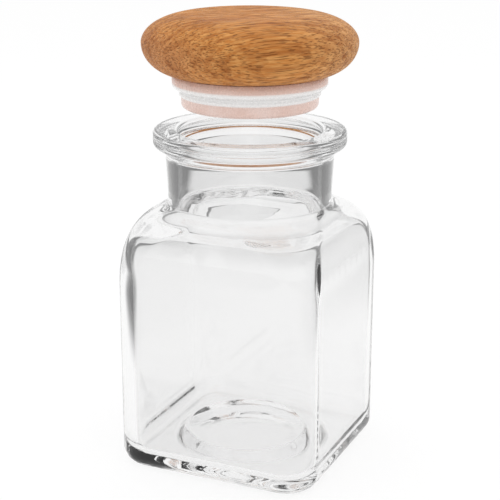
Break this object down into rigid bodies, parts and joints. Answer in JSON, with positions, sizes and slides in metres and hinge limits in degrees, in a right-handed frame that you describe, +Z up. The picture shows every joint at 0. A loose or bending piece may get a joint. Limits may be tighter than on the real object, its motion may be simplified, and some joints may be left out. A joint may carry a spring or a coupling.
{
  "type": "spice jar",
  "caption": "Square clear glass spice jar with a round neck, closed by a turned wooden stopper lid with a soft translucent seal.",
  "frame": {"origin": "centre of the face that the jar stands on", "axes": "+Z up along the common axis of jar, seal and lid; X and Y square to the flat sides of the body"},
  "size_m": [0.0556, 0.0556, 0.1177],
  "materials": {
    "clear_glass": "clear, fire polished",
    "soft_seal": "translucent, satin",
    "oiled_wood": "turned and oiled, satin"
  },
  "bodies": {
    "jar": {"glass_jar": "clear_glass"},
    "seal": {"seal_ring": "soft_seal"},
    "lid": {"wooden_lid": "oiled_wood"}
  },
  "joints": [
    {"name": "lid_lift", "type": "slide", "parent": "jar", "child": "seal", "axis": [0, 0, 1], "range_m": [-0.0097, 0.04]},
    {"name": "lid_turn", "type": "hinge", "parent": "seal", "child": "lid", "pos_m": [0, 0, 0.11], "axis": [0, 0, 1], "continuous": true}
  ]
}
